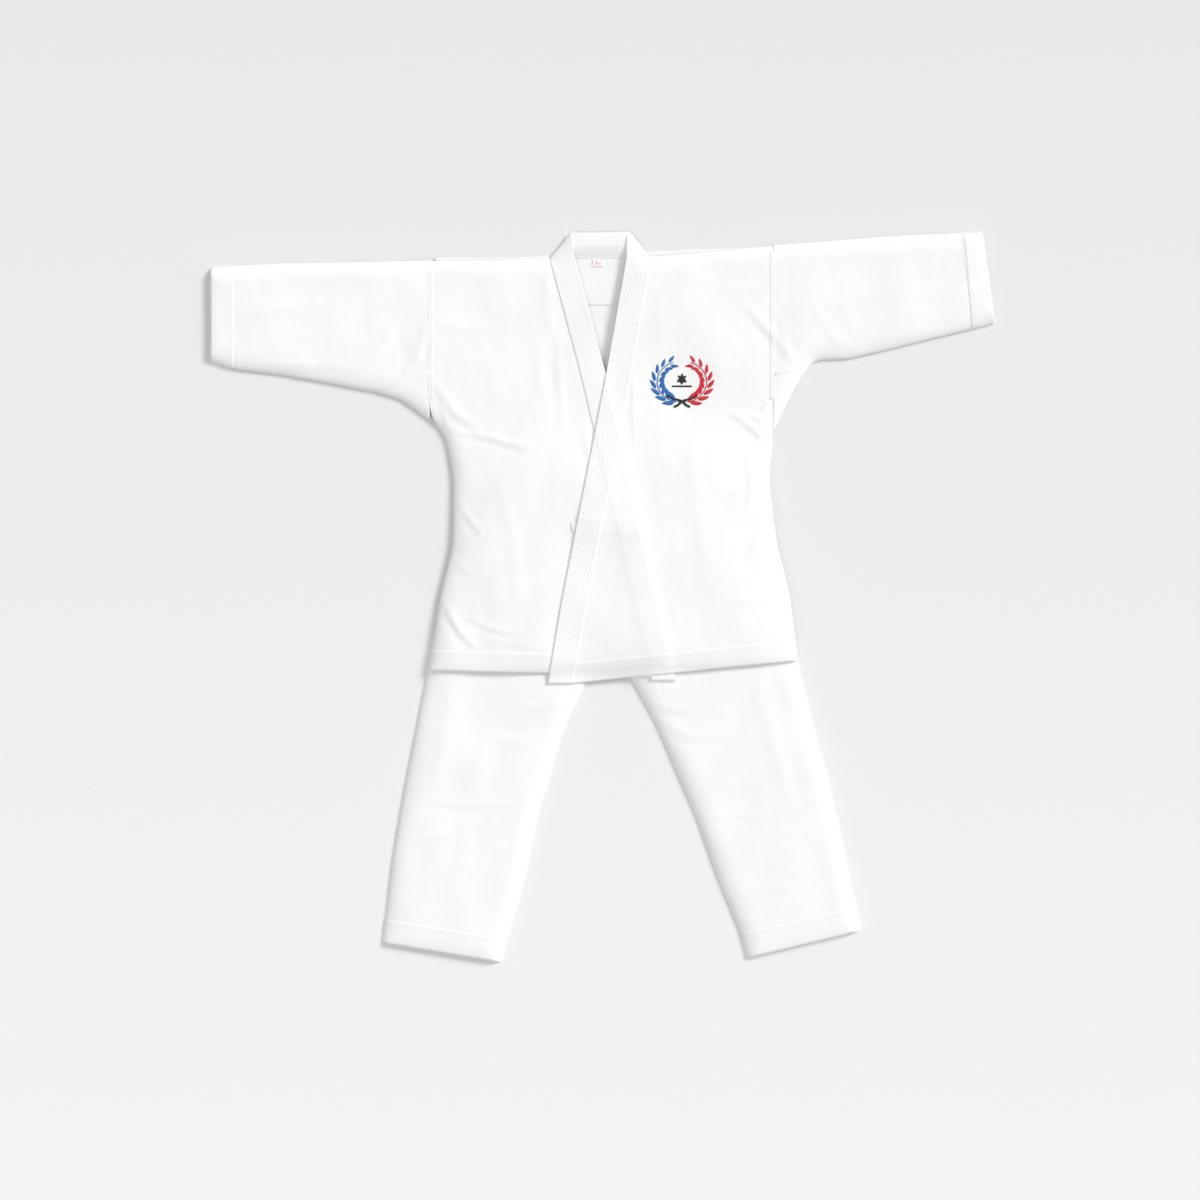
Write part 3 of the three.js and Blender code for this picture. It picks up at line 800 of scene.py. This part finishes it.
waist_rows = [
    (np.array([(waist_low[0] + 6, y), (waist_high[0] - 6, y)]), waist_top, 1.45)
    for y in np.linspace(waist_low[1] + 4, waist_high[1] - 4, 4)
]
finish(stitches("waistband_stitching", waist_rows), body="trousers")

# ------------------------------------------------------------------ jacket back, yoke and collar
back = cloth("jacket_back_cloth", front_outer["right"], front_outer["left"], back_top, SHADED_INSIDE,
             across=120, along=150)
finish(back, ["jacket_back"], body="jacket")
hem_share = share_of(front_outer["right"], 27.0)
back_hem = strip("back_hem_cloth", front_outer["right"], front_outer["left"], 0, hem_share, back_top, SHADED_INSIDE,
                 0.5, 1.0, across=110)
finish(back_hem, ["back_hem"], body="jacket")

yoke_low, yoke_high = (np.array(p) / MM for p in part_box("back_yoke_lining"))
yoke_sides = [np.array([(x, yoke_low[1]), (x, 457.0)]) for x in (yoke_low[0], yoke_high[0])]
yoke_top = back_top + CLOTH * 0.8
yoke = cloth("yoke_lining_cloth", *yoke_sides, yoke_top, SHADED_INSIDE, 0.8, across=90, along=30, edge=0.4)
finish(yoke, ["back_yoke_lining"], body="jacket")

COLLAR_RISE = 5.5
collar_low, collar_high = (np.array(p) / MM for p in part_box("back_collar"))
lean = np.clip((PLACE_Y - collar_low[1]) / 20, 0, 1)
tip = np.clip((collar_high[1] - PLACE_Y) / 9, 0, 1)
rounded_tip = 0.45 + 0.55 * np.sqrt(tip * (2 - tip))
collar_top = back_top + CLOTH + COLLAR_RISE * np.sin(lean * math.pi / 2) * rounded_tip
inner_sides = []
for s in SIDES:
    top_corner = collar_side[s][-1]
    inner_sides.append(np.array([
        (lapel_free[s][-1, 0] + WAY[s] * 5, collar_low[1] - 1.5),
        (top_corner[0] - WAY[s] * 0.5, top_corner[1]),
    ]))
collar = cloth("collar_band", *inner_sides, collar_top, BAND, BAND_CLOTH, across=50, along=26, edge=0.4)
finish(collar, COLLAR, body="jacket")

# ------------------------------------------------------------------ fronts and lapels
UNDER_LAPEL = 6.0      # each panel runs a little way under its lapel
LAPEL_ROWS = (0.1, 0.28, 0.46, 0.64, 0.82, 0.93)
fronts = {"right": right_top, "left": left_top}
band_free, band_seam = {}, {}
for s in SIDES:
    corner_at = collar_side[s][-1]
    band_free[s] = np.vstack([lapel_free[s], [corner_at - np.array([WAY[s] * 3.0, 5.0])]])
    band_seam[s] = np.vstack([lapel_seam[s], collar_side[s][1:-1], [corner_at - np.array([0, 1.0])]])
    top = fronts[s]
    seam = front_seam[s] - np.array([WAY[s] * UNDER_LAPEL, 0])
    bend = f"{s}_front_fold"
    panel = cloth(f"{s}_front_cloth", front_outer[s], seam, top, COTTON, across=100, along=190)
    finish(panel, [f"{s}_front", f"{s}_front_flap"], bend)
    hem = share_of(front_outer[s], 27.0)
    turned = strip(f"{s}_front_hem_cloth", front_outer[s], front_seam[s], 0, hem, top, COTTON, HEM_LIFT, 1.8)
    finish(turned, [f"{s}_front_hem"], body=f"{s}_front_turnback")
    band = cloth(f"{s}_lapel_band", band_seam[s], band_free[s], top + LAPEL_LIFT, BAND, BAND_CLOTH,
                 across=22, along=210, edge=0.6)
    finish(band, LAPEL[s], bend)
    rows = [(between(band_seam[s], band_free[s], k, 0.004, 0.9), top, LAPEL_LIFT + 0.1) for k in LAPEL_ROWS]
    rows += [(across_panel(front_outer[s], front_seam[s], d), top, HEM_LIFT + 0.1) for d in (24.5, 21.5)]
    sewn = stitches(f"{s}_front_stitching", rows)
    finish(sewn, joint=bend)

# ------------------------------------------------------------------ sleeves
CUFF = 32.0
SLEEVE_BEND = (0, 34)      # before and after reach handed to fold(), which does not use them; the sleeve is not bent
for s in SIDES:
    bend = f"{s}_sleeve_fold"
    low, high = sleeve_low[s], sleeve_high[s]
    end = np.array([-WAY[s] * 0.8, 0])
    low, high = np.vstack([low, low[-1] + end]), np.vstack([high, high[-1] + end])
    upper = cloth(f"{s}_sleeve_front_cloth", low, high, front_top, COTTON, across=70, along=120)
    nodes = [f"{s}_sleeve_front", f"{s}_underarm_gusset"]
    finish(upper, nodes, bend, reach=SLEEVE_BEND)
    lower = cloth(f"{s}_sleeve_back_cloth", low, high, floor_field, COTTON, across=40, along=80)
    finish(lower, [f"{s}_sleeve_back"], bend, reach=SLEEVE_BEND)
    cuff = strip(f"{s}_cuff_front", low, high, 0, share_of(low, CUFF), front_top, COTTON, HEM_LIFT, 1.8)
    finish(cuff, [f"{s}_cuff"], body=f"{s}_sleeve")
    under = strip(f"{s}_cuff_back", low, high, 0, share_of(low, CUFF), floor_field, COTTON, 1.1, 1.2)
    finish(under, body=f"{s}_sleeve")
    armhole = front_outer[s][front_outer[s][:, 1] > 262] - np.array([WAY[s] * 0.9, 0])
    armhole = armhole[armhole[:, 1] < armhole[:, 1].max() - 3]
    seam = ribbon(f"{s}_armhole_seam", armhole, 6.0, front_top, COTTON, 0.3)
    finish(seam, body="jacket")
    gusset_top = side([f"{s}_underarm_gusset"], (WAY[s], 0.4), (-WAY[s], 1), 1, axis=0, count=24)
    tuck = ribbon(f"{s}_gusset_seam", gusset_top, 4.0, front_top, COTTON, 0.3)
    finish(tuck, joint=bend, reach=SLEEVE_BEND)
    rows = [(across_panel(low, high, d), front_top, HEM_LIFT + 0.1) for d in (CUFF - 2.5, CUFF - 5.5, 2.5)]
    rows += [(gusset_top, front_top, 0.4)]
    finish(stitches(f"{s}_sleeve_stitching", rows), joint=bend, reach=SLEEVE_BEND)
    rows = [(armhole - np.array([WAY[s] * 1.8, 0]), front_top, 0.4)]
    finish(stitches(f"{s}_armhole_stitching", rows), body="jacket")

yoke_line = [(yoke_low[0] + 6, yoke_low[1] + 2), (yoke_high[0] - 6, yoke_low[1] + 2)]
neck_line = [
    (lapel_free["right"][-1, 0] + 2, collar_low[1] + 1),
    (lapel_free["left"][-1, 0] - 2, collar_low[1] + 1),
]
collar_rows = [
    ([(collar_side["right"][-1, 0] + 6, y), (collar_side["left"][-1, 0] - 6, y)], collar_top, 0.1)
    for y in np.linspace(collar_low[1] + 6, collar_high[1] - 6, 4)
]
rows = [(yoke_line, yoke_top, 0.1), (neck_line, collar_top, 0.1)] + collar_rows
finish(stitches("collar_stitching", rows), body="jacket")

# ------------------------------------------------------------------ label and badge
label_low, label_high = (np.array(p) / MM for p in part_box("size_label"))
label_ends = [np.array([(x, label_low[1]), (x, label_high[1])]) for x in (label_low[0], label_high[0])]
label_top = yoke_top + 0.9
label = cloth("size_label_tape", *label_ends, label_top, SATIN, 0.4, across=16, along=10, edge=0.2)
finish(label, ["size_label"], body="jacket")
bars = [(0.2, 0.65, 0.5), (0.2, 0.38, 0.8)]
starts, ends = [], []
for left, height, right in bars:
    for k in (-0.35, 0.0, 0.35):
        y = label_low[1] + (label_high[1] - label_low[1]) * height + k
        span_x = label_high[0] - label_low[0]
        starts.append((label_low[0] + span_x * left, y))
        ends.append((label_low[0] + span_x * right, y))
heights = [at(label_top, *np.array(p)[:, None])[0] + 0.1 for p in starts]
print_rows = threads("size_label_print", starts, ends, heights, 0.18, PRINT, 0.0)
finish(print_rows, body="jacket")

# A laurel wreath in satin stitch: one blue branch, one red branch, and a black band knotted below.
badge_low, badge_high = (np.array(p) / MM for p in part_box("chest_badge"))
BADGE_MIDDLE = (badge_low + badge_high)[:2] / 2
BADGE_SIZE = (badge_high - badge_low)[:2] / 2
SATIN_PITCH = 0.42
SATIN_RADIUS = 0.3
LEAVES = 8


def satin_leaf(middle, direction, length, width):
    """Start and end points of the threads that fill a pointed leaf, slanting towards its tip."""
    along = np.array([math.cos(direction), math.sin(direction)])
    beside = np.array([-along[1], along[0]])
    t = np.arange(0.04, 0.97, SATIN_PITCH / length)
    half = width / 2 * np.sin(math.pi * t ** 0.8) ** 0.8
    spine = middle + np.outer((t - 0.5) * length, along)
    slant = np.outer(half * 0.35, along)
    return spine + np.outer(half, beside) - slant, spine - np.outer(half, beside) + slant


def satin_band(path, width):
    """Start and end points of the threads across a narrow band."""
    line = resample(np.asarray(path, float), max(int(path_length(path) / SATIN_PITCH), 3))
    way = np.gradient(line, axis=0)
    way /= np.linalg.norm(way, axis=1, keepdims=True)
    beside = way[:, ::-1] * np.array([1, -1]) * width / 2
    return line - beside, line + beside


def embroider(name, parts, material, layer=0.0):
    starts = np.vstack([p[0] for p in parts])
    ends = np.vstack([p[1] for p in parts])
    middles = (starts + ends) / 2
    # Each thread rises a touch above the one before it, as real satin stitches crowd together.
    heights = at(left_top, middles[:, 0], middles[:, 1]) + 0.3 + layer + 0.04 * (np.arange(len(starts)) % 2)
    return threads(name, starts, ends, heights, SATIN_RADIUS, material, 0.5)


def on_ring(angle, share):
    return BADGE_MIDDLE + BADGE_SIZE * share * np.array([math.cos(angle), math.sin(angle)])


BRANCHES = [("blue", BLUE, -1), ("red", RED, 1)]
for colour, material, way in BRANCHES:
    stem_angles = np.radians(-90 + way * np.linspace(14, 158, 60))
    parts = [satin_band([on_ring(a, 0.74) for a in stem_angles], 1.5)]
    for i in range(LEAVES):
        angle = math.radians(-90 + way * (26 + 18.5 * i))
        ahead = angle + way * math.pi / 2
        shrink = 1 - 0.045 * i
        for share, lean in ((0.87, -0.5), (0.6, 0.5)):
            place = on_ring(angle + way * 0.06, share)
            parts.append(satin_leaf(place, ahead + way * lean, 16.5 * shrink, 6.6 * shrink))
    finish(embroider(f"badge_{colour}_branch", parts, material),
           ["chest_badge"] if colour == "blue" else (), body="jacket")

knot = BADGE_MIDDLE + BADGE_SIZE * np.array([0, -0.72])
band_parts = [
    satin_band([knot + (-5, 2.4), knot + (0, 0.8), knot + (5, 2.4)], 4.2),
    satin_band([knot + (-1.5, -0.5), knot + (-6, -4.5), knot + (-10.5, -6.5)], 3.6),
    satin_band([knot + (1.5, -0.5), knot + (6, -4.5), knot + (10.5, -6.5)], 3.6),
    satin_band([knot + (-4, 2.6), knot + (-12, 4.2), knot + (-20, 9)], 3.4),
    satin_band([knot + (4, 2.6), knot + (12, 4.2), knot + (20, 9)], 3.4),
]
finish(embroider("badge_black_band", band_parts, BLACK, 0.35), body="jacket")
ring_parts = [satin_leaf(BADGE_MIDDLE + (0, 4), math.radians(a), 15, 6) for a in (90, 35, 145)]
ring_parts.append(satin_band([BADGE_MIDDLE + (-13, -6), BADGE_MIDDLE + (13, -6)], 2.4))
finish(embroider("badge_centre", ring_parts, BLACK, 0.1), body="jacket")

# ------------------------------------------------------------------ floor and light
bpy.ops.mesh.primitive_plane_add(size=80)
floor = bpy.context.object
floor.name = "floor"
floor_material = bpy.data.materials.new("pale_floor_painted_light")
floor_material.use_nodes = True
floor_shader = floor_material.node_tree.nodes["Principled BSDF"]
floor_tree = floor_material.node_tree
floor_place = node(floor_tree, "ShaderNodeTexCoord").outputs["Object"]
floor_axes = node(floor_tree, "ShaderNodeSeparateXYZ", {0: floor_place})
# Painted light: the floor's colour runs darker towards +Y and lighter towards -Y, standing in for the fall of the
# light across an even floor.
painted_light_falloff = math_node(floor_tree, "MULTIPLY_ADD", floor_axes.outputs[1], -0.6, 0.5)
floor_painted_light_ramp = node(floor_tree, "ShaderNodeValToRGB", {0: painted_light_falloff})
floor_painted_light_ramp.color_ramp.elements[0].color = (0.775, 0.775, 0.778, 1)
floor_painted_light_ramp.color_ramp.elements[1].color = (0.862, 0.862, 0.864, 1)
floor_tree.links.new(floor_painted_light_ramp.outputs[0], floor_shader.inputs["Base Color"])
floor_shader.inputs["Roughness"].default_value = 0.95
floor_shader.inputs["Specular IOR Level"].default_value = 0.1
floor.data.materials.append(floor_material)

world = bpy.data.worlds.new("studio")
scene.world = world
world.use_nodes = True
world.node_tree.nodes["Background"].inputs[0].default_value = (1, 1, 1, 1)
world.node_tree.nodes["Background"].inputs[1].default_value = 0.40


def soft_light(name, direction, strength, spread):
    """A large, even, distant source shining from this direction."""
    data = bpy.data.lights.new(name, "SUN")
    data.energy = strength
    data.angle = spread
    light = bpy.data.objects.new(name, data)
    light.rotation_euler = Vector(direction).to_track_quat("Z", "Y").to_euler()
    scene.collection.objects.link(light)


soft_light("key", (1.0, 0.72, 0.74), 2.5, 0.36)
soft_light("fill", (-0.4, -0.5, 1.6), 0.8, 0.9)
